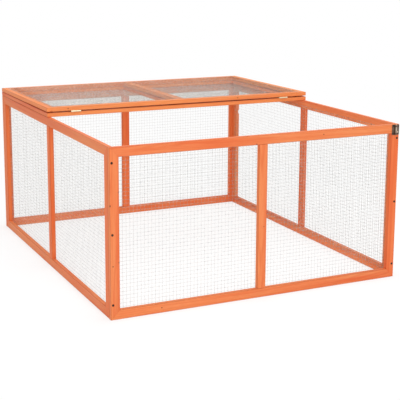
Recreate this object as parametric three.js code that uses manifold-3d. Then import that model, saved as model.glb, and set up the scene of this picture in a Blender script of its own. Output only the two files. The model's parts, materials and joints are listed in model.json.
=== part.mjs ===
// Outdoor run for rabbits: four mesh-covered timber panels and a roof in two halves.
// The rear roof is screwed to the walls. The front roof hangs on two butt hinges and is shown folded back,
// upside down, with its far edge resting on the rear one. Millimetres, +X to the right, +Y to the back,
// +Z up.
// The origin is on the ground, in the middle of the whole object's box.

import * as THREE from 'three';
import { mergeVertices } from 'three/addons/utils/BufferGeometryUtils.js';
import Module from 'manifold-3d';

const wasm = await Module();
wasm.setup();

// ---------- driving dimensions ----------

const runWidth = 1100;            // outside, left to right
const runDepth = 1272;            // outside, front to back
const wallHeight = 566;           // ground to the top of the panels

const timberFace = 32;            // width of every rail and stile
const wallThickness = 16;         // thickness of the panels' timber
const roofThickness = 15;         // thickness of the roof frames' timber
const edgeEase = 1.2;             // planed-off corner along each timber
const jointGap = 0.3;             // between timbers that are glued or screwed together
const seatGap = 0.1;              // between a metal fitting and the timber it is screwed to

const meshThickness = 1.6;        // two layers of welded wire
const meshInset = 20;             // bare margin between a frame's edge and its mesh
const meshLift = 0.3;             // between a mesh sheet and the timber it is stapled to
const meshBar = 3;                // drawn width of a wire
const meshColumns = 10;           // gaps across a sheet
const meshRows = 5;               // gaps up a sheet

const hingeLength = 38;           // along the pin
const hingeInset = 109;           // centre of a hinge to the side of the run, on the hinge rail
const hingeLeafWidth = 17;        // part of a leaf that lies on the timber
const hingeLeafThickness = 1.5;
const hingeLeafGap = 1;           // between the two folded leaves
const hingePinRadius = 1.5;
const hingeKnuckleRadius = 2.9;
const hingePlay = 0.3;            // pin to knuckle, knuckle to knuckle and knuckle to timber
const hingeKnuckles = 5;          // odd: the rear roof's leaf has the first and the last
const hingeScrewSpacing = 22;     // between the two screws of a leaf
const hingeScrewShare = 0.6;      // of a leaf's width, from the frame's edge to its screws

const boltPlateWidth = 30;
const boltPlateHeight = 37;
const boltPlateThickness = 1.2;
const boltPlateCorner = 2.5;
const boltPlateDrop = 1;          // top of the plate below the top of the panel
const boltRadius = 3;
const boltLength = 37;
const boltChamfer = 0.8;
const boltTravel = 14;
const boltPlay = 0.3;             // bolt to plate, strap and keeper
const boltStrapHeight = 7;
const boltStrapThickness = 1.2;
const boltStrapRoot = 0.5;        // how far a strap spreads sideways where it grows out of the plate
const boltStrapMargin = 1.5;      // plate above the upper strap and below the lower one
const boltKnobStem = 2;           // radius of the stem
const boltKnobRadius = 3.2;
const boltKnobReach = 7.5;        // middle of the knob in front of the bolt's axis
const boltKnobRoom = 0.5;         // between the knob at rest and the lower strap
const boltScrewInset = 4.5;       // screw centre to the edges of the plate

const keeperHeight = 11;
const keeperFoot = 8;             // width of each foot
const keeperRise = 2;             // its lower end above the underside of the roof
const keeperPlay = 0.9;           // between bolt and keeper, wider than in the straps

const wallScrewMargin = 50;       // lowest and highest corner screw to the ends of the stile
const wallScrewInset = 8;         // screw centre to the outer side of the run
const wallScrewLength = 45;
const wallScrewRadius = 2;
const wallScrewHead = 4;
const roofScrewLength = 40;
const roofScrewInset = 90;        // along a side rail, from its ends
const smallScrewLength = 10;
const smallScrewRadius = 1.2;
const smallScrewHead = 2.6;
const screwPlay = 0.3;            // between a screw and its hole
const screwSides = 10;
const headSink = 0.2;             // head below the surface
const recessReach = 2.1;          // from the middle of a head to the end of its cross recess
const recessWidth = 0.9;
const recessDepth = 1.8;

const knotRadius = 10;            // where a knot has dropped out of the right panel's rear stile
const knotHeight = 434;           // middle of that place above the ground
const chipRadius = 5;             // where the front roof's hinge rail has chipped
const chipInset = 16;             // middle of the chip to the rail's left end

// ---------- places that follow from them ----------

const hingeGap = 2 * (hingeLeafThickness + seatGap) + hingeLeafGap;  // between the folded frames
const hingeOffset = hingeKnuckleRadius + hingePlay;          // hinge axis in front of the frames' faces
const roofLength = (runDepth - 2 * hingeOffset) / 2;         // both halves together cover the run
const roofBase = wallHeight + jointGap;
const seamY = runDepth - roofLength;                         // front face of the two stacked frames
const hingeAxisY = seamY - hingeOffset;
const hingeAxisZ = roofBase + roofThickness + hingeGap / 2;
const restTilt = Math.asin((hingeGap - jointGap) / (roofLength + hingeOffset));  // of the folded roof
const sideLength = runDepth - 2 * (wallThickness + jointGap);
const boltAxisY = -(seatGap + boltPlateThickness + boltPlay + boltRadius);
const wallScrewHeights = [wallScrewMargin, wallHeight / 2, wallHeight - wallScrewMargin];
const boltX = runWidth - timberFace / 2;
const boltPlateTop = wallHeight - boltPlateDrop;
const frontReach = boltKnobReach + boltKnobRadius - boltAxisY;
const keeperRadius = boltRadius + keeperPlay;
const rearReach = keeperRadius + boltStrapThickness - boltAxisY;

// ---------- materials ----------

const wood = (color) => new THREE.MeshStandardMaterial({ color, roughness: 0.62, metalness: 0 });
const metal = (color, roughness) => new THREE.MeshStandardMaterial({ color, roughness, metalness: 1 });
const stainedFir = wood('#e8824a');
const galvanised = metal('#c9cccd', 0.45);
const zincPlated = metal('#d6d2c6', 0.35);
const blackOxide = metal('#4a4340', 0.5);

// ---------- small tools ----------

const toSolid = (geometry) => {
  const bare = geometry.clone();
  bare.deleteAttribute('normal');
  bare.deleteAttribute('uv');
  const merged = mergeVertices(bare, 1e-4);
  return new wasm.Manifold(new wasm.Mesh({
    numProp: 3,
    vertProperties: new Float32Array(merged.attributes.position.array),
    triVerts: new Uint32Array(merged.index.array),
  }));
};

const toGeometry = (solid) => {
  const mesh = solid.getMesh();
  const geometry = new THREE.BufferGeometry();
  const points = new Float32Array(mesh.vertProperties);
  geometry.setAttribute('position', new THREE.BufferAttribute(points, 3));
  geometry.setIndex(new THREE.BufferAttribute(new Uint32Array(mesh.triVerts), 1));
  geometry.computeVertexNormals();
  return geometry;
};

const cut = (geometry, tools) => {
  const solids = tools.map(toSolid);
  return toGeometry(solids.reduce((body, tool) => body.subtract(tool), toSolid(geometry)));
};

const join = (...geometries) => toGeometry(geometries.map(toSolid).reduce((a, b) => a.add(b)));

const outline = (points) => new THREE.Shape(points.map(([x, y]) => new THREE.Vector2(x, y)));

const prism = (shape, length) => new THREE.ExtrudeGeometry(shape, {
  depth: length,
  bevelEnabled: false,
  curveSegments: 8,
});

const place = (geometry, x, y, z) => geometry.translate(x, y, z);

const piece = (name, geometry, material) => {
  const mesh = new THREE.Mesh(geometry, material);
  mesh.name = name;
  return mesh;
};

// ---------- screws: a flat countersunk head at z = 0 and the shank down to z = -length ----------

const screwSizes = {
  wall: { radius: wallScrewRadius, head: wallScrewHead, length: wallScrewLength },
  roof: { radius: wallScrewRadius, head: wallScrewHead, length: roofScrewLength },
  small: { radius: smallScrewRadius, head: smallScrewHead, length: smallScrewLength },
};

const screwProfile = ({ radius, head, length }, play) => {
  const top = play > 0 ? play : -headSink;
  const cone = head - radius;
  return [
    [0, top],
    [head + play, top],
    [head + play, -headSink - play / 2],
    [radius + play, -headSink - cone - play / 2],
    [radius + play, -length + radius],
    [0, -length - play],
  ].map(([r, z]) => new THREE.Vector2(r, z)).reverse();
};

const lathe = (profile) => new THREE.LatheGeometry(profile, screwSides).rotateX(Math.PI / 2);

// One of the two blades of the cross recess, narrower at the bottom.
const recessBlade = (turn) => {
  const blade = new THREE.CylinderGeometry(recessReach, recessReach / 2, recessDepth + headSink, 4);
  blade.rotateY(Math.PI / 4).scale(Math.SQRT2, 1, recessWidth / (recessReach * Math.SQRT2));
  return place(blade.rotateX(Math.PI / 2).rotateZ(turn), 0, 0, -(recessDepth + headSink) / 2);
};

const screw = (size) => cut(lathe(screwProfile(size, 0)), [recessBlade(0), recessBlade(Math.PI / 2)]);
const screwHole = (size) => lathe(screwProfile(size, screwPlay));

// A fixing is a screw's place and the way its head looks. The corner screws are modelled. The screws of the
// rear roof, the hinges, the bolt and the keeper have only their holes.
const aim = (geometry, { at, facing }) => {
  const turn = new THREE.Quaternion().setFromUnitVectors(new THREE.Vector3(0, 0, 1), facing);
  return geometry.applyQuaternion(turn).translate(...at);
};
const cutter = (fixing) => aim(screwHole(fixing.size), fixing);
const screwPiece = (fixing) => piece(fixing.name, aim(screw(fixing.size), fixing), blackOxide);

const towards = {
  front: new THREE.Vector3(0, -1, 0),
  back: new THREE.Vector3(0, 1, 0),
  up: new THREE.Vector3(0, 0, 1),
};

// ---------- timber frames ----------
// A frame lies in local X and Y from 0,0 to length,width, and in Z from 0 to thickness.

const easedSection = (width, thickness) => outline([
  [edgeEase, 0], [width - edgeEase, 0], [width, edgeEase], [width, thickness - edgeEase],
  [width - edgeEase, thickness], [edgeEase, thickness], [0, thickness - edgeEase], [0, edgeEase],
]);

// A bar along +X whose outer edge is y = 0. Each mitred end is cut back by as much as a point lies inwards.
const bar = (length, thickness, mitred) => {
  const geometry = prism(easedSection(timberFace, thickness), length);
  geometry.rotateX(Math.PI / 2).rotateZ(Math.PI / 2);
  const position = geometry.attributes.position;
  for (let i = 0; i < position.count; i += 1) {
    const inward = mitred ? position.getY(i) + jointGap / 2 : 0;
    const x = position.getX(i);
    position.setX(i, x < length / 2 ? x + inward : x - inward);
  }
  return geometry;
};

const quarterTurn = Math.PI / 2;

// The five timbers of one frame as geometries, in the frame's own place.
const frameTimbers = (length, width, thickness) => {
  const crossLength = width - 2 * (timberFace + jointGap);
  return {
    low: bar(length, thickness, true),
    high: place(bar(length, thickness, true).rotateZ(2 * quarterTurn), length, width, 0),
    start: place(bar(width, thickness, true).rotateZ(-quarterTurn), 0, width, 0),
    end: place(bar(width, thickness, true).rotateZ(quarterTurn), length, 0, 0),
    middle: place(
      bar(crossLength, thickness, false).rotateZ(quarterTurn),
      (length + timberFace) / 2, timberFace + jointGap, 0,
    ),
  };
};

// Welded mesh as a flat sheet with gaps, in the frame's own place, on the side that z gives.
const meshSheet = (length, width, z) => {
  const sheetLength = length - 2 * meshInset;
  const sheetWidth = width - 2 * meshInset;
  const stepX = (sheetLength - meshBar) / meshColumns;
  const stepY = (sheetWidth - meshBar) / meshRows;
  const sheet = new THREE.BoxGeometry(sheetLength, sheetWidth, meshThickness);
  const gaps = [];
  for (let column = 0; column < meshColumns; column += 1) {
    for (let row = 0; row < meshRows; row += 1) {
      const gap = new THREE.BoxGeometry(stepX - meshBar, stepY - meshBar, 3 * meshThickness);
      const x = (column + 0.5) * stepX + (meshBar - sheetLength) / 2;
      const y = (row + 0.5) * stepY + (meshBar - sheetWidth) / 2;
      gaps.push(place(gap, x, y, 0));
    }
  }
  return place(cut(sheet, gaps), length / 2, width / 2, z + meshThickness / 2);
};

const meshBehind = (thickness) => thickness + meshLift;
const meshBefore = -(meshThickness + meshLift);

const boxOf = (geometry) => new THREE.Box3().setFromBufferAttribute(geometry.attributes.position);

// Builds a frame as a group of named pieces. The cutters, given where it will stand, cut its timbers.
const buildFrame = ({ names, prefix, length, width, thickness, meshZ, matrix, cutters }) => {
  const group = new THREE.Group();
  const toLocal = matrix.clone().invert();
  const tools = cutters.map((tool) => tool.clone().applyMatrix4(toLocal));
  for (const [position, geometry] of Object.entries(frameTimbers(length, width, thickness))) {
    const here = tools.filter((tool) => boxOf(tool).intersectsBox(boxOf(geometry)));
    const shaped = here.length ? cut(geometry, here) : geometry;
    group.add(piece(`${prefix}_${names[position]}`, shaped, stainedFir));
  }
  group.add(piece(`${prefix}_mesh`, meshSheet(length, width, meshZ), galvanised));
  group.applyMatrix4(matrix);
  return group;
};

const panelNames = {
  low: 'bottom_rail', high: 'top_rail', start: 'left_stile', end: 'right_stile', middle: 'centre_stile',
};
const sideNames = {
  low: 'bottom_rail', high: 'top_rail', start: 'front_stile', end: 'rear_stile', middle: 'centre_stile',
};
const roofNames = {
  low: 'hinge_rail', high: 'outer_rail', start: 'left_rail', end: 'right_rail', middle: 'mullion',
};

// Where a frame's own X, Y and Z axes point, and where its corner goes.
const standing = (xAxis, yAxis, zAxis, corner) => new THREE.Matrix4()
  .makeBasis(xAxis, yAxis, zAxis)
  .setPosition(...corner);

const axis = {
  x: new THREE.Vector3(1, 0, 0),
  y: new THREE.Vector3(0, 1, 0),
  z: new THREE.Vector3(0, 0, 1),
};
const minus = (vector) => vector.clone().negate();

// ---------- where the screws go ----------

const screwSideX = { left: wallScrewInset, right: runWidth - wallScrewInset };
const sides = Object.keys(screwSideX);

const cornerFixings = (face, side) => wallScrewHeights.map((height, i) => ({
  name: `${face}_${side}_screw_${i + 1}`,
  size: screwSizes.wall,
  at: [screwSideX[side], face === 'back' ? runDepth : 0, height],
  facing: towards[face],
}));
const wallFixings = ['front', 'back'].flatMap((face) => sides.flatMap((side) => cornerFixings(face, side)));

const roofScrewYs = [seamY + roofScrewInset, runDepth - roofScrewInset];
const roofFixings = sides.flatMap((side) => roofScrewYs.map((y) => ({
  size: screwSizes.roof,
  at: [screwSideX[side], y, roofBase + roofThickness],
  facing: towards.up,
})));

const hingeCentres = [hingeInset, runWidth - hingeInset];

// Screws of one leaf, seen with the leaf flat on top of a frame that lies behind the hinge axis.
const leafFixings = (centre) => [-1, 1].map((side) => ({
  size: screwSizes.small,
  at: [
    centre + side * hingeScrewSpacing / 2,
    seamY + hingeLeafWidth * hingeScrewShare,
    roofBase + roofThickness + seatGap + hingeLeafThickness,
  ],
  facing: towards.up,
}));
const hingeFixings = hingeCentres.flatMap(leafFixings);

const boltFixings = [0, 1].flatMap((right) => [0, 1].map((high) => ({
  size: screwSizes.small,
  at: [
    boltX + (right ? 1 : -1) * (boltPlateWidth / 2 - boltScrewInset),
    -(seatGap + boltPlateThickness),
    boltPlateTop - (high ? boltScrewInset : boltPlateHeight - boltScrewInset),
  ],
  facing: towards.front,
})));

const keeperBase = roofBase + keeperRise;
const keeperFixings = [-1, 1].map((side) => ({
  size: screwSizes.small,
  at: [
    boltX + side * (keeperRadius + boltStrapThickness + keeperFoot / 2),
    -(seatGap + boltStrapThickness),
    keeperBase + keeperHeight / 2,
  ],
  facing: towards.front,
}));

// ---------- the four panels ----------

const panelCutters = [...wallFixings, ...roofFixings, ...boltFixings].map(cutter);

const panel = (prefix, names, length, matrix, meshZ, losses = []) => buildFrame({
  prefix,
  names,
  length,
  width: wallHeight,
  thickness: wallThickness,
  meshZ,
  matrix,
  cutters: [...panelCutters, ...losses],
});

// Front and back run the full width over the side panels' ends. Local Z points out of the front panel.
const frontPanel = panel(
  'front', panelNames, runWidth,
  standing(axis.x, axis.z, minus(axis.y), [0, wallThickness, 0]),
  meshBefore,
);
const backPanel = panel(
  'back', panelNames, runWidth,
  standing(axis.x, axis.z, minus(axis.y), [0, runDepth, 0]),
  meshBefore,
);
const leftPanel = panel(
  'left', sideNames, sideLength,
  standing(axis.y, axis.z, axis.x, [0, wallThickness + jointGap, 0]),
  meshBehind(wallThickness),
);
// The outer corner of the right panel's rear stile has lost a knot, which leaves a round hollow.
const lostKnot = place(
  new THREE.SphereGeometry(knotRadius, 12, 8),
  runWidth, wallThickness + jointGap + sideLength - timberFace, knotHeight,
);
const rightPanel = panel(
  'right', sideNames, sideLength,
  standing(axis.y, axis.z, axis.x, [runWidth - wallThickness, wallThickness + jointGap, 0]),
  meshBefore,
  [lostKnot],
);

// ---------- the two roof halves ----------

const roofHalf = (prefix, names, cutters) => buildFrame({
  prefix,
  names,
  length: runWidth,
  width: roofLength,
  thickness: roofThickness,
  meshZ: meshBefore,
  matrix: standing(axis.x, axis.y, axis.z, [0, seamY, roofBase]),
  cutters,
});

const rearRoof = roofHalf('rear_roof', roofNames, [...roofFixings, ...hingeFixings].map(cutter));

// The front half is built in the rear half's place, turned over about the middle of the hinge gap, which
// lays it folded on the rear half, and tilted about the hinges until its far edge rests there. Its keeper
// is placed where it will be once the roof is closed.
const foldOver = new THREE.Matrix4()
  .makeTranslation(0, hingeAxisY, hingeAxisZ)
  .multiply(new THREE.Matrix4().makeRotationX(-restTilt))
  .multiply(new THREE.Matrix4().makeTranslation(runWidth, -hingeAxisY, hingeAxisZ))
  .multiply(new THREE.Matrix4().makeRotationY(Math.PI));
const closedToBuilt = new THREE.Matrix4()
  .makeTranslation(runWidth, 2 * hingeAxisY, 0)
  .multiply(new THREE.Matrix4().makeRotationZ(Math.PI));
const toBuilt = (fixing) => ({
  ...fixing,
  at: new THREE.Vector3(...fixing.at).applyMatrix4(closedToBuilt).toArray(),
  facing: towards.back,
});
const builtKeeperFixings = keeperFixings.map(toBuilt);
const turnedNames = { ...roofNames, start: 'right_rail', end: 'left_rail' };
const chip = place(
  new THREE.SphereGeometry(chipRadius, 8, 6),
  runWidth - chipInset, seamY, roofBase + roofThickness,
);
const frontRoof = roofHalf('front_roof', turnedNames, [
  ...[...hingeFixings, ...builtKeeperFixings].map(cutter),
  chip,
]);

// ---------- butt hinges ----------

// One leaf with its knuckles, flat on top of the frame behind the axis, centred on x = 0.
const hingeLeaf = (ownKnuckle) => {
  const leafLow = roofBase + roofThickness + seatGap;
  const leafHigh = leafLow + hingeLeafThickness;
  const leafEnd = seamY + hingeLeafWidth;
  const plateShape = outline([
    [hingeAxisY, leafLow], [leafEnd, leafLow], [leafEnd, leafHigh], [hingeAxisY, leafHigh],
  ]);
  const toRow = new THREE.Matrix4().makeBasis(axis.y, axis.z, axis.x);
  const alongX = (geometry) => geometry.applyMatrix4(toRow);
  const round = (radius) => new THREE.Shape().absarc(hingeAxisY, hingeAxisZ, radius, 0, 2 * Math.PI);
  const barrel = round(hingeKnuckleRadius);
  const bore = round(hingePinRadius + hingePlay);
  const clearance = round(hingeKnuckleRadius + hingePlay);
  const step = hingeLength / hingeKnuckles;
  const start = -hingeLength / 2;
  const solids = [place(alongX(prism(plateShape, hingeLength)), start, 0, 0)];
  const cuts = [place(alongX(prism(bore, hingeLength + 2)), start - 1, 0, 0)];
  for (let i = 0; i < hingeKnuckles; i += 1) {
    const from = start + i * step;
    if (ownKnuckle(i)) {
      solids.push(place(alongX(prism(barrel, step - hingePlay)), from + hingePlay / 2, 0, 0));
    } else {
      cuts.push(place(alongX(prism(clearance, step + hingePlay)), from - hingePlay / 2, 0, 0));
    }
  }
  const drills = leafFixings(0).map(cutter);
  return cut(join(...solids), [...cuts, ...drills]);
};

const hingePin = () => {
  const pin = new THREE.CylinderGeometry(hingePinRadius, hingePinRadius, hingeLength, 12);
  return place(pin.rotateZ(quarterTurn), 0, hingeAxisY, hingeAxisZ);
};

const hinges = new THREE.Group();
const frontRoofFittings = new THREE.Group();
hingeCentres.forEach((centre, i) => {
  const side = ['left', 'right'][i];
  const otherSide = ['right', 'left'][i];
  const fixedLeaf = place(hingeLeaf((k) => k % 2 === 0), centre, 0, 0);
  hinges.add(piece(`${side}_hinge_fixed_leaf`, fixedLeaf, zincPlated));
  hinges.add(piece(`${side}_hinge_pin`, place(hingePin(), centre, 0, 0), zincPlated));
  const movingLeaf = place(hingeLeaf((k) => k % 2 === 1), centre, 0, 0);
  frontRoofFittings.add(piece(`${otherSide}_hinge_moving_leaf`, movingLeaf, zincPlated));
});

// ---------- barrel bolt and keeper ----------

// Section across the bolt of a strap bent over it: feet on the plate, looking along +Z, at x = 0.
const strapShape = (inside, foot, base) => {
  const outside = inside + boltStrapThickness;
  const shape = new THREE.Shape();
  shape.moveTo(-outside - foot, base);
  shape.lineTo(-outside - foot, base - boltStrapThickness);
  shape.lineTo(-outside, base - boltStrapThickness);
  shape.lineTo(-outside, boltAxisY);
  shape.absarc(0, boltAxisY, outside, Math.PI, 2 * Math.PI, false);
  shape.lineTo(outside, base - boltStrapThickness);
  shape.lineTo(outside + foot, base - boltStrapThickness);
  shape.lineTo(outside + foot, base);
  shape.lineTo(inside, base);
  shape.lineTo(inside, boltAxisY);
  shape.absarc(0, boltAxisY, inside, 2 * Math.PI, Math.PI, true);
  shape.lineTo(-inside, base);
  shape.closePath();
  return shape;
};

const roundedPlate = (width, height, corner) => {
  const shape = new THREE.Shape();
  const x = width / 2 - corner;
  const y = height / 2 - corner;
  shape.absarc(x, -y, corner, -quarterTurn, 0, false);
  shape.absarc(x, y, corner, 0, quarterTurn, false);
  shape.absarc(-x, y, corner, quarterTurn, 2 * quarterTurn, false);
  shape.absarc(-x, -y, corner, 2 * quarterTurn, 3 * quarterTurn, false);
  shape.closePath();
  return shape;
};

const boltPlate = () => {
  const plateShape = roundedPlate(boltPlateWidth, boltPlateHeight, boltPlateCorner);
  const plate = prism(plateShape, boltPlateThickness).rotateX(quarterTurn);
  place(plate, boltX, -seatGap, boltPlateTop - boltPlateHeight / 2);
  const strapBase = -seatGap - boltPlateThickness / 2;
  const strapOutline = strapShape(boltRadius + boltPlay, boltStrapRoot, strapBase);
  const strap = () => prism(strapOutline, boltStrapHeight);
  const lowStrap = place(strap(), boltX, 0, boltPlateTop - boltPlateHeight + boltStrapMargin);
  const highStrap = place(strap(), boltX, 0, boltPlateTop - boltStrapHeight - boltStrapMargin);
  return cut(join(plate, lowStrap, highStrap), boltFixings.map(cutter));
};

// Round bolt with a turned knob; at rest its end is level with the top of the plate.
const boltBody = () => {
  const shaftProfile = [
    [0, -boltLength], [boltRadius - boltChamfer, -boltLength], [boltRadius, boltChamfer - boltLength],
    [boltRadius, -boltChamfer], [boltRadius - boltChamfer, 0], [0, 0],
  ].map(([r, z]) => new THREE.Vector2(r, z));
  const shaft = new THREE.LatheGeometry(shaftProfile, 16).rotateX(quarterTurn);
  const knobProfile = [
    [0, 0], [boltKnobStem, 0], [boltKnobStem, boltKnobReach - boltKnobRadius],
    ...[-0.8, -0.4, 0, 0.4, 0.8].map((t) => [
      boltKnobRadius * Math.cos(t * quarterTurn),
      boltKnobReach + boltKnobRadius * Math.sin(t * quarterTurn),
    ]),
    [0, boltKnobReach + boltKnobRadius],
  ].map(([r, reach]) => new THREE.Vector2(r, reach));
  const knob = new THREE.LatheGeometry(knobProfile, 12).rotateX(Math.PI);
  const knobDrop = boltPlateHeight - boltStrapHeight - boltStrapMargin - boltKnobRadius - boltKnobRoom;
  place(knob, 0, 0, -knobDrop);
  return place(join(shaft, knob), boltX, boltAxisY, boltPlateTop);
};

const fittings = new THREE.Group();
fittings.add(piece('bolt_plate', boltPlate(), zincPlated));
fittings.add(piece('bolt', boltBody(), zincPlated));
fittings.add(...wallFixings.map(screwPiece));

const keeper = cut(
  place(prism(strapShape(keeperRadius, keeperFoot, -seatGap), keeperHeight), boltX, 0, keeperBase),
  keeperFixings.map(cutter),
).applyMatrix4(closedToBuilt);
frontRoofFittings.add(piece('bolt_keeper', keeper, zincPlated));

// ---------- the whole run ----------

const foldedFrontRoof = new THREE.Group();
foldedFrontRoof.add(frontRoof, frontRoofFittings);
foldedFrontRoof.applyMatrix4(foldOver);

const run = new THREE.Group();
run.add(frontPanel, backPanel, leftPanel, rightPanel, rearRoof, hinges, fittings, foldedFrontRoof);
run.position.set(-runWidth / 2, -(runDepth + rearReach - frontReach) / 2, 0);
run.updateMatrixWorld(true);

export default run;
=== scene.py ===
import json
import math
import random

import bmesh
import bpy
from mathutils import Matrix, Vector


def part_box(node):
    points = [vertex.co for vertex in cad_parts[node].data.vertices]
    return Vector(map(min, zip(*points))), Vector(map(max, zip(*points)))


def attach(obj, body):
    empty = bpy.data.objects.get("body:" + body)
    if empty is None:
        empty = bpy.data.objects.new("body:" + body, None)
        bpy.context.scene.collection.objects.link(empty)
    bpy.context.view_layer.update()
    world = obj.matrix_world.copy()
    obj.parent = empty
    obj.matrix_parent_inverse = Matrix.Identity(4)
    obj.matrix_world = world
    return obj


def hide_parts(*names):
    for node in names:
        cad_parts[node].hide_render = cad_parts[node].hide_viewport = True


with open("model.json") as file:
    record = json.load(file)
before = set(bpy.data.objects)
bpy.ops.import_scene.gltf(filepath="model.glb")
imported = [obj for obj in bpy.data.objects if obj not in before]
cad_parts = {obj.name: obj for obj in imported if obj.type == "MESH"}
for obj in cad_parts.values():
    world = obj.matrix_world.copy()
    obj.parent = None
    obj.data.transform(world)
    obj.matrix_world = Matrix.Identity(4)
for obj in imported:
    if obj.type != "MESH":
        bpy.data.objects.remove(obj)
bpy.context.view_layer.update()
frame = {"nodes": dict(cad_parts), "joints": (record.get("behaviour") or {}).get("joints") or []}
nodes = frame["nodes"]

# ---------------------------------------------------------------------------------------------------
# Camera. It stands to the left of the run's front and a little above it, and looks slightly down with
# its frame shifted, which keeps the posts nearly upright as in the photograph.

photo_side = 400
focal_pixels = 1030.0
lens_row = 150.0  # the row of the photograph that the lens points at
sensor_width = 36.0
camera_place = Vector((-1.6528, -3.5897, 1.1738))
camera_yaw, camera_pitch, camera_roll = 25.598, -11.045, 0.309

lens = bpy.data.cameras.new("photo_camera")
lens.sensor_width = sensor_width
lens.lens = focal_pixels / photo_side * sensor_width
lens.shift_y = (lens_row - photo_side / 2) / photo_side
camera = bpy.data.objects.new("photo_camera", lens)
camera.matrix_world = (
    Matrix.Translation(camera_place)
    @ Matrix.Rotation(math.radians(-camera_yaw), 4, "Z")
    @ Matrix.Rotation(math.radians(90 + camera_pitch), 4, "X")
    @ Matrix.Rotation(math.radians(camera_roll), 4, "Z")
)
bpy.context.scene.collection.objects.link(camera)
bpy.context.scene.camera = camera
bpy.context.scene.view_settings.view_transform = "Standard"

# ---------------------------------------------------------------------------------------------------
# Studio. A plain white floor melts into a white surround farther off. Two large soft lamps, at the left
# of the front and overhead, leave the inside of the run in shade, and only a trace of its shadow shows.

surround_light = 0.67  # how strongly the surround lights the run; seen directly it is plain white
floor_size = 70.0
floor_drop = 0.0006  # below the rails, so that the two never touch
shadow_reach = 0.85  # from the run's middle, as far as its shadow shows in full
white_reach = 1.6  # from there on the floor is as white as the surround
paper_glow = 0.7  # how much of the floor's white under the run is its own


def linear(colour):
    """An sRGB hex colour as linear red, green, blue and alpha."""
    channels = [int(colour[i : i + 2], 16) / 255 for i in (1, 3, 5)]
    return [c / 12.92 if c <= 0.04045 else ((c + 0.055) / 1.055) ** 2.4 for c in channels] + [1.0]


def add(tree, kind, links=None, **settings):
    """A new node with its settings; links fill its inputs from other nodes or with plain values."""
    made = tree.nodes.new(kind)
    for name, value in settings.items():
        setattr(made, name, value)
    for socket, value in (links or {}).items():
        source = value.outputs[0] if isinstance(value, bpy.types.Node) else value
        if isinstance(source, bpy.types.NodeSocket):
            tree.links.new(source, made.inputs[socket])
        else:
            made.inputs[socket].default_value = source
    return made


def seen_directly(tree):
    """1 for rays from the camera or off a shiny surface, else 0."""
    path = add(tree, "ShaderNodeLightPath")
    seen = path.outputs["Is Camera Ray"]
    for ray in ("Is Glossy Ray", "Is Transmission Ray"):
        seen = add(tree, "ShaderNodeMath", {0: seen, 1: path.outputs[ray]}, operation="MAXIMUM")
    return seen


white = linear("#FFFFFF")
surround = bpy.data.worlds.new("white_surround")
bpy.context.scene.world = surround
surround.use_nodes = True
tree = surround.node_tree
tree.nodes.clear()
soft = add(tree, "ShaderNodeBackground", {"Color": white, "Strength": surround_light})
plain = add(tree, "ShaderNodeBackground", {"Color": white, "Strength": 1.0})
both = add(tree, "ShaderNodeMixShader", {0: seen_directly(tree), 1: soft, 2: plain})
add(tree, "ShaderNodeOutputWorld", {"Surface": both})

# White paper: matt, and bright enough by itself to vanish against the surround.
bpy.ops.mesh.primitive_plane_add(size=floor_size, location=(0, 0, -floor_drop))
floor = bpy.context.object
floor.name = "floor"
paper = bpy.data.materials.new("white_paper_floor")
paper.use_nodes = True
tree = paper.node_tree
tree.nodes.clear()
matt = add(tree, "ShaderNodeBsdfDiffuse", {"Color": white})
glow = add(tree, "ShaderNodeEmission", {"Color": white, "Strength": 1.0})
place = add(tree, "ShaderNodeTexCoord").outputs["Object"]
away = add(tree, "ShaderNodeVectorMath", {0: place}, operation="LENGTH").outputs["Value"]
whiter = add(
    tree, "ShaderNodeMapRange", {0: away, 1: shadow_reach, 2: white_reach, 3: paper_glow, 4: 1.0}
)
share = add(tree, "ShaderNodeMath", {0: seen_directly(tree), 1: whiter}, operation="MULTIPLY")
both = add(tree, "ShaderNodeMixShader", {0: share, 1: matt, 2: glow})
add(tree, "ShaderNodeOutputMaterial", {"Surface": both})
floor.data.materials.append(paper)


def soft_lamp(name, place, aim, width, height, watts):
    """A rectangular lamp at a place, turned to the point that it aims at."""
    lamp = bpy.data.lights.new(name, "AREA")
    lamp.shape = "RECTANGLE"
    lamp.size, lamp.size_y, lamp.energy = width, height, watts
    made = bpy.data.objects.new(name, lamp)
    made.location = place
    made.rotation_euler = (Vector(aim) - Vector(place)).to_track_quat("-Z", "Y").to_euler()
    bpy.context.scene.collection.objects.link(made)


soft_lamp("front_lamp", (-1.5, -4.2, 2.2), (0, 0, 0.3), 3.0, 2.2, 66)
soft_lamp("top_lamp", (0.3, -0.2, 3.6), (0, 0, 0.4), 3.0, 3.0, 60)

# ---------------------------------------------------------------------------------------------------
# Timber of the four wall panels and both roof halves: planed fir battens, mitred at the corners, with
# a middle post set in square, under a thin orange-brown stain. The small dark knots that show in the
# front timbers and in the folded roof's hinge rail are in their places.

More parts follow.
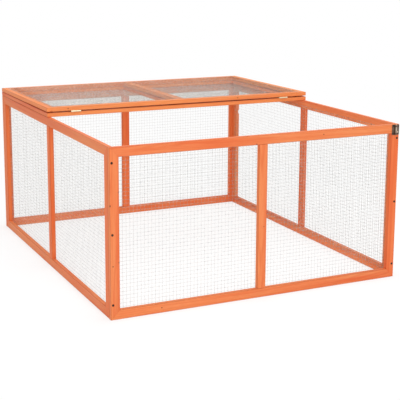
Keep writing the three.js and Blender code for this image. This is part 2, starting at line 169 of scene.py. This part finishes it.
ring_width = 0.0045  # year rings, drawn a little coarser than the real 3 mm so that they show
ring_reach = 0.1  # width of all the rings from the lowest to the highest of the noise behind them
arch_width = 0.06  # of the arches that a flat-sawn batten shows
knot_bend = 0.12  # how far the rings bend round a knot
fibre_width = 0.0011  # drawn coarser than the real 0.03 mm so that it shows
streak_width = 0.012
grain_relief = 0.00015  # how far the hard rings stand proud
batten_spread = 0.09  # over which the tone drifts, so that neighbouring battens differ
grain_stretch = 0.045  # how much slower the pattern runs along a batten than across it
knot_spacing = 0.11
knot_radius = 0.0045
knot_rim = 0.6  # of a knot's radius, where it begins to fade
bend_reach = 2.5  # radii of a knot round which the rings bend
pin_knot_radius = 0.0021
pin_knot_fade = 1.3  # radii of a pin knot at which it has faded out
pin_knots = [
    Vector((0.235, -0.633, 0.551)),
    Vector((-0.027, -0.633, 0.537)),
    Vector((-0.372, -0.633, 0.017)),
    Vector((-0.541, -0.633, 0.179)),
    Vector((-0.520, -0.633, 0.421)),
    Vector((-0.520, -0.633, 0.190)),
    Vector((-0.470, 0.006, 0.594)),
    Vector((0.235, 0.006, 0.594)),
]


# Stained fir. The stain soaks deeper into the pale early wood than into the dark rings, so the grain
# shows as soft streaks. The eased edges are darkened with painted shade. It dries to a satin sheen.
def stained_fir(name, along, cast_share=0.0, cast="#E25618"):
    """Stained fir whose grain runs along that axis, with its tone drawn to a cast by that share."""
    material = bpy.data.materials.new(name)
    material.use_nodes = True
    tree = material.node_tree
    surface = tree.nodes["Principled BSDF"]
    place = add(tree, "ShaderNodeTexCoord").outputs["Object"]
    grain = [1.0, 1.0, 1.0]
    grain["XYZ".index(along)] = grain_stretch
    drawn_out = add(tree, "ShaderNodeMapping", {"Vector": place, "Scale": grain})

    # Small round knots, and how near a point is to one.
    knots = add(tree, "ShaderNodeTexVoronoi", {"Vector": place, "Scale": 1 / knot_spacing})
    reach = knot_radius / knot_spacing
    near = add(tree, "ShaderNodeMapRange", {0: knots, 1: 0.0, 2: bend_reach * reach, 3: 1.0, 4: 0.0})
    knot = add(tree, "ShaderNodeMapRange", {0: knots, 1: knot_rim * reach, 2: reach, 3: 1.0, 4: 0.0})
    rim, end = knot_rim * pin_knot_radius, pin_knot_fade * pin_knot_radius
    for middle in pin_knots:
        apart = add(tree, "ShaderNodeVectorMath", {0: place, 1: middle}, operation="DISTANCE")
        apart = apart.outputs["Value"]
        pin_knot = add(tree, "ShaderNodeMapRange", {0: apart, 1: rim, 2: end, 3: 1.0, 4: 0.0})
        knot = add(tree, "ShaderNodeMath", {0: knot, 1: pin_knot}, operation="MAXIMUM")

    # Year rings are the contour lines of a slow noise, which gives the long arches of a flat-sawn
    # batten, and they bend round the knots.
    slow = add(tree, "ShaderNodeTexNoise", {"Vector": drawn_out, "Scale": 1 / arch_width, "Detail": 1.0})
    bent = add(tree, "ShaderNodeMath", {0: near, 1: knot_bend, 2: slow}, operation="MULTIPLY_ADD")
    all_turns = 2 * math.pi * ring_reach / ring_width
    turns = add(tree, "ShaderNodeMath", {0: bent, 1: all_turns}, operation="MULTIPLY")
    wave = add(tree, "ShaderNodeMath", {0: turns}, operation="SINE")
    rings = add(tree, "ShaderNodeMapRange", {0: wave, 1: -0.2, 2: 1.0, 3: 0.0, 4: 1.0})

    fibre = add(tree, "ShaderNodeTexNoise", {"Vector": drawn_out, "Scale": 1 / fibre_width})
    streak = add(tree, "ShaderNodeTexNoise", {"Vector": drawn_out, "Scale": 1 / streak_width})
    drift = {"Vector": drawn_out, "Scale": 1 / batten_spread, "Detail": 0.0}
    tone = add(tree, "ShaderNodeTexNoise", drift)

    # A planed face looks along one axis; the eased edges, the mitres and torn wood look askew.
    facing = add(tree, "ShaderNodeTexCoord").outputs["Normal"]
    facing = add(tree, "ShaderNodeVectorMath", {0: facing}, operation="ABSOLUTE")
    sides = add(tree, "ShaderNodeSeparateXYZ", {0: facing})
    planed = sides.outputs[0]
    for other in sides.outputs[1:]:
        planed = add(tree, "ShaderNodeMath", {0: planed, 1: other}, operation="MAXIMUM")

    # Layers of colour from below: a pattern, where it starts and is full, its most, and its colour.
    layers = (
        (tone, 0.35, 0.65, 1.0, "#E8844B"),
        (streak, 0.3, 0.75, 0.75, "#EC985F"),
        (rings, 0.0, 1.0, 0.42, "#D5632F"),
        (fibre, 0.35, 0.7, 0.28, "#CA5C2A"),
        (cast_share, 0.0, 1.0, 1.0, cast),
        # painted shade: faces that look askew, the eased edges, mitres and torn wood, are darkened as if
        # in shadow
        (planed, 0.95, 0.8, 0.5, "#9C3E14"),
        (knot, 0.0, 1.0, 1.0, "#6E2C12"),
    )
    colour = linear("#DB5F2E")
    for pattern, start, full, most, over in layers:
        share = add(tree, "ShaderNodeMapRange", {0: pattern, 1: start, 2: full, 3: 0.0, 4: most})
        links = {"Factor": share, "A": colour, "B": linear(over)}
        colour = add(tree, "ShaderNodeMix", links, data_type="RGBA").outputs["Result"]
    tree.links.new(colour, surface.inputs["Base Color"])

    # The harder rings shine a little more and stand a hair proud.
    gloss = add(tree, "ShaderNodeMapRange", {0: rings, 1: 0.0, 2: 1.0, 3: 0.62, 4: 0.5})
    tree.links.new(gloss.outputs[0], surface.inputs["Roughness"])
    relief = add(tree, "ShaderNodeMath", {0: rings, 1: 0.6, 2: fibre}, operation="MULTIPLY_ADD")
    bump = add(tree, "ShaderNodeBump", {"Height": relief, "Strength": 0.5, "Distance": grain_relief})
    tree.links.new(bump.outputs[0], surface.inputs["Normal"])
    surface.inputs["IOR"].default_value = 1.45
    surface.inputs["Specular IOR Level"].default_value = 0.38
    return material


fir = {axis: stained_fir(f"stained_fir_grain_{axis.lower()}", axis) for axis in "XYZ"}

# Most of the roof's timber gets a paler copy of the stained fir, painted light standing in for the
# whitish sheen of light from above.
top_lit_fir = {axis: stained_fir(f"pale_fir_grain_{axis.lower()}", axis, 0.35, "#F6A257") for axis in "XY"}
top_lit_timber = ("front_roof", "rear_roof_hinge_rail", "rear_roof_outer_rail")

# Some stiles get a redder copy of the stained fir.
redder_fir = stained_fir("thirsty_fir_grain_z", "Z", 0.4)
redder_stiles = (
    "front_right_stile",
    "left_front_stile",
    "left_centre_stile",
    "left_rear_stile",
    "back_centre_stile",
    "back_right_stile",
    "right_centre_stile",
)


def grain_axis(name):
    """The axis that a batten of that name runs along, or None for anything but timber."""
    if name.endswith("stile"):
        return "Z"
    if not name.endswith(("rail", "mullion")):
        return None
    on_side_panel = name.startswith(("left_", "right_"))
    return "Y" if on_side_panel or name.endswith(("mullion", "left_rail", "right_rail")) else "X"


for name, batten in nodes.items():
    axis = grain_axis(name)
    if axis:
        stained = top_lit_fir[axis] if name.startswith(top_lit_timber) else fir[axis]
        batten.data.materials.clear()
        batten.data.materials.append(redder_fir if name in redder_stiles else stained)

# ---------------------------------------------------------------------------------------------------
# Welded mesh: a sheet on the inner face of the front and side panels, on the outer face of the back
# one, and under each roof half. Galvanised wire 0.56 mm thick, in two layers welded into 12.7 mm
# squares, is cut from a roll and never quite straight, with a blob of zinc at each weld.

mesh_pitch = 0.0127
wire_radius = 0.00028
timber_gap = 0.00002  # between the inner wires and the timber, so that the two never share a face
weld_sink = 0.0001  # how far the welding pressed the two wires together
weld_radius = 0.0005
wire_sides = 6
wire_stretches = 10
wire_stray = 0.0002
mesh_margin = 0.0003  # from the timber to the near face of the sheet's CAD form
# painted glint and shade: the patches are partly the zinc's own dull spots and partly painted glints and
# painted shade
bloom_width = 0.005  # of the dull patches in the zinc
random.seed(7)

# Hot-dip galvanised wire: a grey zinc skin, dull in patches, with painted glints in the brighter patches
# between them.
galvanised = bpy.data.materials.new("galvanised_wire")
galvanised.use_nodes = True
tree = galvanised.node_tree
surface = tree.nodes["Principled BSDF"]
place = add(tree, "ShaderNodeTexCoord").outputs["Object"]
glint_bloom = add(tree, "ShaderNodeTexNoise", {"Vector": place, "Scale": 1 / bloom_width, "Detail": 2.0})
glint_patch = add(tree, "ShaderNodeMapRange", {0: glint_bloom, 1: 0.35, 2: 0.65, 3: 0.0, 4: 1.0})
links = {"Factor": glint_patch, "A": linear("#7A7A77"), "B": linear("#DAD8D0")}
zinc = add(tree, "ShaderNodeMix", links, data_type="RGBA")
tree.links.new(zinc.outputs["Result"], surface.inputs["Base Color"])
dull = add(tree, "ShaderNodeMapRange", {0: glint_bloom, 1: 0.3, 2: 0.7, 3: 0.32, 4: 0.52})
tree.links.new(dull.outputs[0], surface.inputs["Roughness"])
surface.inputs["Metallic"].default_value = 0.9

unit = [Vector((1, 0, 0)), Vector((0, 1, 0)), Vector((0, 0, 1))]

# The folded front roof leans a little about its hinges, because its far edge rests on the rear roof.
# What is added to it is made as if it lay level, and then leans with it.
fold = next(joint for joint in frame["joints"] if joint["name"] == "front_roof_fold")
hinge_line = Vector(fold["pos_m"])
lean = math.radians(fold["range_deg"][1] - 180)
leaning = (
    Matrix.Translation(hinge_line) @ Matrix.Rotation(-lean, 4, "X") @ Matrix.Translation(-hinge_line)
)


def level_box(name, body):
    """The lowest and highest corner of a node, for the front roof as it would be if it lay level."""
    level = leaning.inverted() if body == "front_roof" else Matrix()
    corners = [level @ vertex.co for vertex in nodes[name].data.vertices]
    return [Vector(pick(corner[i] for corner in corners) for i in range(3)) for pick in (min, max)]


def make_piece(name, points, faces, material, body, smooth=False):
    """A mesh object made from points and faces, which rides on a body of the frame."""
    if body == "front_roof":
        points = [leaning @ point for point in points]
    mesh = bpy.data.meshes.new(name)
    mesh.from_pydata(points, [], faces)
    shape = bmesh.new()
    shape.from_mesh(mesh)
    bmesh.ops.recalc_face_normals(shape, faces=shape.faces)
    shape.to_mesh(mesh)
    shape.free()
    mesh.polygons.foreach_set("use_smooth", [smooth] * len(mesh.polygons))
    mesh.materials.append(material)
    piece = bpy.data.objects.new(name, mesh)
    bpy.context.scene.collection.objects.link(piece)
    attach(piece, body)
    return piece


def spread(low, high):
    """Places from low to high at the mesh pitch, with the same rest at both ends."""
    count = int((high - low - 2 * wire_radius) / mesh_pitch)
    start = (low + high - count * mesh_pitch) / 2
    return [start + i * mesh_pitch for i in range(count + 1)]


class Sheet:
    """How a sheet of mesh lies: its axes, the places of its wires, and their levels off the timber."""

    def __init__(self, name, body, thin, side):
        self.name, self.body, self.thin, self.side = name, body, thin, side
        self.along, self.up = [i for i in range(3) if i != thin]
        self.low, self.high = level_box(name, body)
        self.columns = spread(self.low[self.along], self.high[self.along])
        self.rows = spread(self.low[self.up], self.high[self.up])
        timber = (self.high if side > 0 else self.low)[thin] + side * mesh_margin
        self.inner = timber - side * (timber_gap + wire_radius)
        self.outer = self.inner - side * (2 * wire_radius - weld_sink)

    def point(self, column, row, level):
        """The point at that column, row and level."""
        place = Vector()
        place[self.along], place[self.up], place[self.thin] = column, row, level
        return place


# Each sheet's body, its thin axis, and on which side of it along that axis the timber is.
sheets = [
    Sheet("front_mesh", "run", thin=1, side=-1),
    Sheet("back_mesh", "run", thin=1, side=-1),
    Sheet("left_mesh", "run", thin=0, side=-1),
    Sheet("right_mesh", "run", thin=0, side=1),
    Sheet("rear_roof_mesh", "run", thin=2, side=1),
    Sheet("front_roof_mesh", "front_roof", thin=2, side=-1),
]


def add_wire(points, faces, start, end, side, up):
    """A thin rod from start to end that strays a little to its side."""
    first = len(points)
    for step in range(wire_stretches + 1):
        middle = start.lerp(end, step / wire_stretches)
        if 0 < step < wire_stretches:
            middle = middle + side * random.uniform(-wire_stray, wire_stray)
        for turn in range(wire_sides):
            angle = 2 * math.pi * turn / wire_sides
            rim = side * math.cos(angle) + up * math.sin(angle)
            points.append(middle + rim * wire_radius)
    for step in range(wire_stretches):
        low, high = first + step * wire_sides, first + (step + 1) * wire_sides
        for turn in range(wire_sides):
            after = (turn + 1) % wire_sides
            faces.append((low + turn, low + after, high + after, high + turn))
    faces.append(tuple(first + turn for turn in reversed(range(wire_sides))))
    faces.append(tuple(first + wire_stretches * wire_sides + turn for turn in range(wire_sides)))


def add_weld(points, faces, middle, a, b, up):
    """A blob of zinc with eight faces round the place where two wires cross."""
    first = len(points)
    points += [middle + a * weld_radius, middle + b * weld_radius]
    points += [middle - a * weld_radius, middle - b * weld_radius]
    points += [middle + up * weld_radius, middle - up * weld_radius]
    for i in range(4):
        this, after = first + i, first + (i + 1) % 4
        faces.append((this, after, first + 4))
        faces.append((after, this, first + 5))


for sheet in sheets:
    along, up, out = unit[sheet.along], unit[sheet.up], unit[sheet.thin]
    points, faces = [], []
    for row in sheet.rows:
        start = sheet.point(sheet.low[sheet.along], row, sheet.inner)
        end = sheet.point(sheet.high[sheet.along], row, sheet.inner)
        add_wire(points, faces, start, end, up, out)
    for column in sheet.columns:
        start = sheet.point(column, sheet.low[sheet.up], sheet.outer)
        end = sheet.point(column, sheet.high[sheet.up], sheet.outer)
        add_wire(points, faces, start, end, along, out)
    for column in sheet.columns:
        for row in sheet.rows:
            middle = sheet.point(column, row, (sheet.inner + sheet.outer) / 2)
            add_weld(points, faces, middle, along, up, out)
    name = f"{sheet.name}_wires"
    wires = make_piece(name, points, faces, galvanised, sheet.body, smooth=True)
    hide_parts(sheet.name)

# ---------------------------------------------------------------------------------------------------
# Staples that hold the mesh: crowns 8 mm wide of the same galvanised wire, shot over a wire into the
# timber about every 75 mm. Each lies midway between two outer wires and crosses one inner wire.

staple_half = 0.004
staple_width = 0.0009
staple_wire = 0.00055
staple_bend = 0.0006
staple_depth = 0.0015  # of the legs in the timber, of which only the top would ever show
staple_step = 6  # squares of mesh from one staple to the next
staple_stray = 0.0012
staple_tilt = 0.12
clear_columns, clear_rows = 2, 3  # left free at the ends of each line, where the corner staples are


def staple_outline(reach, height, bend):
    """One side of a staple from foot to foot, as pairs of places along it and out of the timber."""
    return [
        (-reach, -staple_depth),
        (-reach, height - bend),
        (-reach + bend, height),
        (reach - bend, height),
        (reach, height - bend),
        (reach, -staple_depth),
    ]


def add_staple(points, faces, middle, length_axis, width_axis, out):
    """A flat staple whose crown lies over middle; out points away from the timber."""
    under = 2 * wire_radius
    outside = staple_outline(staple_half, under + staple_wire, staple_bend)
    inside = staple_outline(staple_half - staple_wire, under, staple_bend / 2)
    first = len(points)
    for half in (-staple_width / 2, staple_width / 2):
        for along, height in outside + inside:
            points.append(middle + length_axis * along + out * height + width_axis * half)
    count = len(outside)
    near, far = first, first + 2 * count
    for i in range(count - 1):
        faces.append((near + i, near + i + 1, far + i + 1, far + i))
        faces.append((near + count + i + 1, near + count + i, far + count + i, far + count + i + 1))
        faces.append((near + i + 1, near + i, near + count + i, near + count + i + 1))
        faces.append((far + i, far + i + 1, far + count + i + 1, far + count + i))
    for i in (0, count - 1):
        faces.append((near + i, far + i, far + count + i, near + count + i))


for sheet in sheets:
    columns, rows = sheet.columns, sheet.rows
    gaps = [(a + b) / 2 for a, b in zip(columns, columns[1:])]
    centre = (columns[0] + columns[-1]) / 2
    over_stiles = [gaps[0], min(gaps, key=lambda gap: abs(gap - centre)), gaps[-1]]
    ends = (rows[0], rows[-1])
    places = [(gap, row) for gap in gaps[clear_columns:-clear_columns:staple_step] for row in ends]
    places += [(gap, row) for gap in over_stiles for row in rows[clear_rows:-clear_rows:staple_step]]
    places += [(gap, row) for gap in (gaps[0], gaps[-1]) for row in ends]
    points, faces = [], []
    for gap, row in places:
        height = row + random.uniform(-staple_stray, staple_stray)
        middle = sheet.point(gap, height, sheet.inner + sheet.side * wire_radius)
        tilt = Matrix.Rotation(random.uniform(-staple_tilt, staple_tilt), 3, unit[sheet.thin])
        out = -sheet.side * unit[sheet.thin]
        add_staple(points, faces, middle, tilt @ unit[sheet.up], tilt @ unit[sheet.along], out)
    make_piece(f"{sheet.name}_staples", points, faces, galvanised, sheet.body)

# ---------------------------------------------------------------------------------------------------
# Butt hinges, barrel bolt and keeper: stamped and rolled steel with a thin zinc plating. On hinges and
# keeper it is passivated to a warm straw colour. The bolt's backplate and straps are coloured dark brown
# as painted shade and painted dark reflection, and the bolt itself stays bright.

cloud_width = 0.006  # of the clouds in the plating
scratch_width = 0.0006  # drawn coarser than the real 0.05 mm so that it shows
scratch_depth = 0.00004


# Zinc-plated steel: a clouded metallic sheen, with fine scratches from the tumbling drum.
def plated_steel(name, low_colour, high_colour, roughness):
    """Plated steel whose clouds run from one colour to another."""
    material = bpy.data.materials.new(name)
    material.use_nodes = True
    tree = material.node_tree
    surface = tree.nodes["Principled BSDF"]
    place = add(tree, "ShaderNodeTexCoord").outputs["Object"]
    cloud = add(tree, "ShaderNodeTexNoise", {"Vector": place, "Scale": 1 / cloud_width, "Detail": 3.0})
    links = {"Factor": cloud, "A": linear(low_colour), "B": linear(high_colour)}
    tint = add(tree, "ShaderNodeMix", links, data_type="RGBA")
    tree.links.new(tint.outputs["Result"], surface.inputs["Base Color"])
    ends = {0: cloud, 1: 0.3, 2: 0.7, 3: roughness - 0.06, 4: roughness + 0.08}
    shine = add(tree, "ShaderNodeMapRange", ends)
    tree.links.new(shine.outputs[0], surface.inputs["Roughness"])
    marks = {"Vector": place, "Scale": 1 / scratch_width, "Detail": 2.0}
    scratch = add(tree, "ShaderNodeTexNoise", marks)
    bump = add(tree, "ShaderNodeBump", {"Height": scratch, "Strength": 0.25, "Distance": scratch_depth})
    tree.links.new(bump.outputs[0], surface.inputs["Normal"])
    surface.inputs["Metallic"].default_value = 1.0
    return material


straw_zinc = plated_steel("straw_zinc_plating", "#D8C49C", "#F3E6C8", 0.36)
bright_zinc = plated_steel("bright_zinc_plating", "#A3917F", "#CDBBA8", 0.34)
# painted shade: the backplate and its straps are coloured dark brown, standing in for their shade and
# dark reflections
shaded_plate_steel = plated_steel("brown_oxide_on_steel", "#33231E", "#97806F", 0.46)

finishes = {name: straw_zinc for name in nodes if name.endswith(("leaf", "pin"))}
finishes.update(bolt=bright_zinc, bolt_keeper=straw_zinc, bolt_plate=shaded_plate_steel)
for name, finish in finishes.items():
    nodes[name].data.materials.clear()
    nodes[name].data.materials.append(finish)

# ---------------------------------------------------------------------------------------------------
# Screws: hardened steel with a countersunk head and a cross recess. Long ones hold the panels' corners
# and the rear roof, and short ones hold the hinges, the bolt and the keeper.

head_sides = 24
head_rim = 0.0002
screw_point = 0.002
cross_half_width = 0.2  # of the cross recess, as shares of the head's radius
cross_reach = 0.56
cross_depth = 0.5
cross_taper = 0.6
head_sink = 0.0002
most_spin = 1.5  # radians by which a cross recess ended up turned
long_screw = {"head": 0.004, "shank": 0.002, "length": 0.045}
roof_screw = {"head": 0.004, "shank": 0.002, "length": 0.040}
small_screw = {"head": 0.0026, "shank": 0.0012, "length": 0.010}

# Nearly black steel, so the heads show as small dark dots.
near_black_steel = plated_steel("black_oxide_on_screws", "#2A2523", "#574B45", 0.42)


def screw_points_and_faces(head, shank, length):
    """A countersunk screw with its head's top at the origin, facing +Z."""
    cross = []
    for quarter in range(4):
        turn = Matrix.Rotation(quarter * math.pi / 2, 2)
        corners = (
            (cross_reach, -cross_half_width),
            (cross_reach, cross_half_width),
            (cross_half_width, cross_half_width),
        )
        cross += [turn @ Vector(corner) * head for corner in corners]
    points = [Vector((c.x * cross_taper, c.y * cross_taper, -cross_depth * head)) for c in cross]
    points += [Vector((c.x, c.y, 0)) for c in cross]
    side = 2 * math.pi / head_sides
    start = math.atan2(-cross_half_width, cross_reach)
    cone_end = -head_rim - (head - shank)
    circles = ((head, 0), (head, -head_rim), (shank, cone_end), (shank, screw_point - length))
    for radius, z in circles:
        for i in range(head_sides):
            angle = start + i * side
            points.append(Vector((radius * math.cos(angle), radius * math.sin(angle), z)))
    points.append(Vector((0, 0, -length)))

    count = len(cross)
    step = head_sides // count
    faces = [tuple(range(count))]
    for i in range(count):
        after = (i + 1) % count
        faces.append((i, count + i, count + after, after))
        rim = [2 * count + (step * i + k) % head_sides for k in range(step + 1)]
        faces.append((count + i, *rim, count + after))
    last = 2 * count
    for _ in circles[1:]:
        for i in range(head_sides):
            after = (i + 1) % head_sides
            faces.append((last + i, last + head_sides + i, last + head_sides + after, last + after))
        last += head_sides
    for i in range(head_sides):
        faces.append((last + i, len(points) - 1, last + (i + 1) % head_sides))
    return points, faces


def screws(name, body, size, places, facing, finish, replaced=()):
    """Screws of one size whose heads lie at those places and look one way, as one piece."""
    points, faces = [], []
    for place in places:
        spin = Matrix.Rotation(random.uniform(0, most_spin), 3, "Z").to_quaternion()
        turn = facing.to_track_quat("Z", "Y") @ spin
        own_points, own_faces = screw_points_and_faces(**size)
        first = len(points)
        points += [Vector(place) - facing * head_sink + turn @ point for point in own_points]
        faces += [tuple(first + i for i in face) for face in own_faces]
    piece = make_piece(name, points, faces, finish, body)
    if replaced:
        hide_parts(*replaced)


# Three at each corner of the walls, through the front and back panels' stiles.
for face, facing in (("front", -unit[1]), ("back", unit[1])):
    for side in ("left", "right"):
        stile_low, stile_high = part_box(f"{face}_{side}_stile")
        head_y = stile_low.y if face == "front" else stile_high.y
        for i in (1, 2, 3):
            node = f"{face}_{side}_screw_{i}"
            low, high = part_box(node)
            place = ((low.x + high.x) / 2, head_y, (low.z + high.z) / 2)
            screws(f"{node}_turned", "run", long_screw, [place], facing, near_black_steel, [node])

# Two down each side of the rear roof.
roof_screw_inset = 0.090  # along a side rail, from its ends
side_inset = 0.008  # from the outer side of the run
rail_low, rail_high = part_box("rear_roof_hinge_rail")
back_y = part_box("rear_roof_outer_rail")[1].y
side_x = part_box("rear_roof_right_rail")[1].x - side_inset
roof_places = [
    (x, y, rail_high.z)
    for x in (-side_x, side_x)
    for y in (rail_low.y + roof_screw_inset, back_y - roof_screw_inset)
]
screws("rear_roof_screws", "run", roof_screw, roof_places, unit[2], near_black_steel)

# Two in each leaf of the hinges.
leaf_gap = 0.001
hinge_screw_half = 0.011
hinge_screw_reach = 0.0068  # from a leaf's far edge
for node, body, facing in (("fixed", "run", unit[2]), ("moving", "front_roof", -unit[2])):
    places = []
    for side in ("left", "right"):
        low, high = level_box(f"{side}_hinge_{node}_leaf", body)
        middle = (low + high) / 2
        z = middle.z - facing.z * leaf_gap / 2
        places += [(middle.x + s * hinge_screw_half, high.y - hinge_screw_reach, z) for s in (-1, 1)]
    screws(f"hinge_{node}_leaf_screws", body, small_screw, places, facing, straw_zinc)

# One at each corner of the bolt's backplate, and one in each foot of its keeper.
plate_screw_inset = 0.0045
plate_thickness = 0.0012
low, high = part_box("bolt_plate")
plate_places = [
    (x, high.y - plate_thickness, z)
    for x in (low.x + plate_screw_inset, high.x - plate_screw_inset)
    for z in (low.z + plate_screw_inset, high.z - plate_screw_inset)
]
screws("bolt_plate_screws", "run", small_screw, plate_places, -unit[1], near_black_steel)

keeper_foot_middle = 0.004
low, high = level_box("bolt_keeper", "front_roof")
keeper_places = [
    (x, low.y + plate_thickness, (low.z + high.z) / 2)
    for x in (low.x + keeper_foot_middle, high.x - keeper_foot_middle)
]
screws("bolt_keeper_screws", "front_roof", small_screw, keeper_places, unit[1], straw_zinc)
